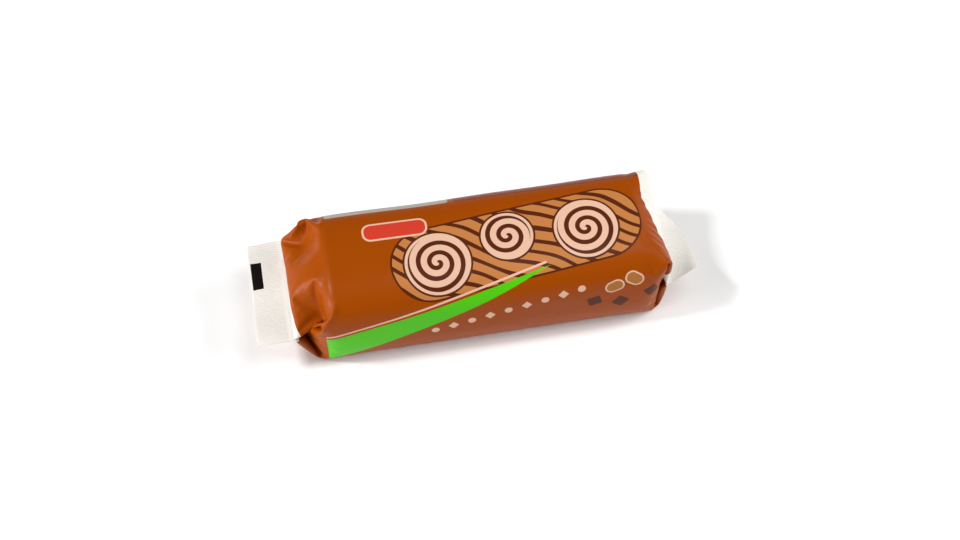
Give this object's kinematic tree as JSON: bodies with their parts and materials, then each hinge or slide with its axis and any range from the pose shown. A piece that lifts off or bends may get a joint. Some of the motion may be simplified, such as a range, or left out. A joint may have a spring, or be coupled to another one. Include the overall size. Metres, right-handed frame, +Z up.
{
  "type": "flow-wrapped swiss roll cake pack",
  "caption": "Shut flow-wrap film pack round a whole swiss roll cake, with pressed end fins, side tucks and a flat back seam.",
  "frame": {"origin": "middle of the pack's bounding box in plan, on the surface it lies on", "axes": "+X along the roll towards the drooping end fin, +Y across it to the back, +Z up"},
  "size_m": [0.27, 0.079, 0.062],
  "materials": {
    "film": "printed polypropylene film, glossy, with milky unprinted end fins"
  },
  "bodies": {
    "root": {"pack": "film"}
  },
  "joints": []
}
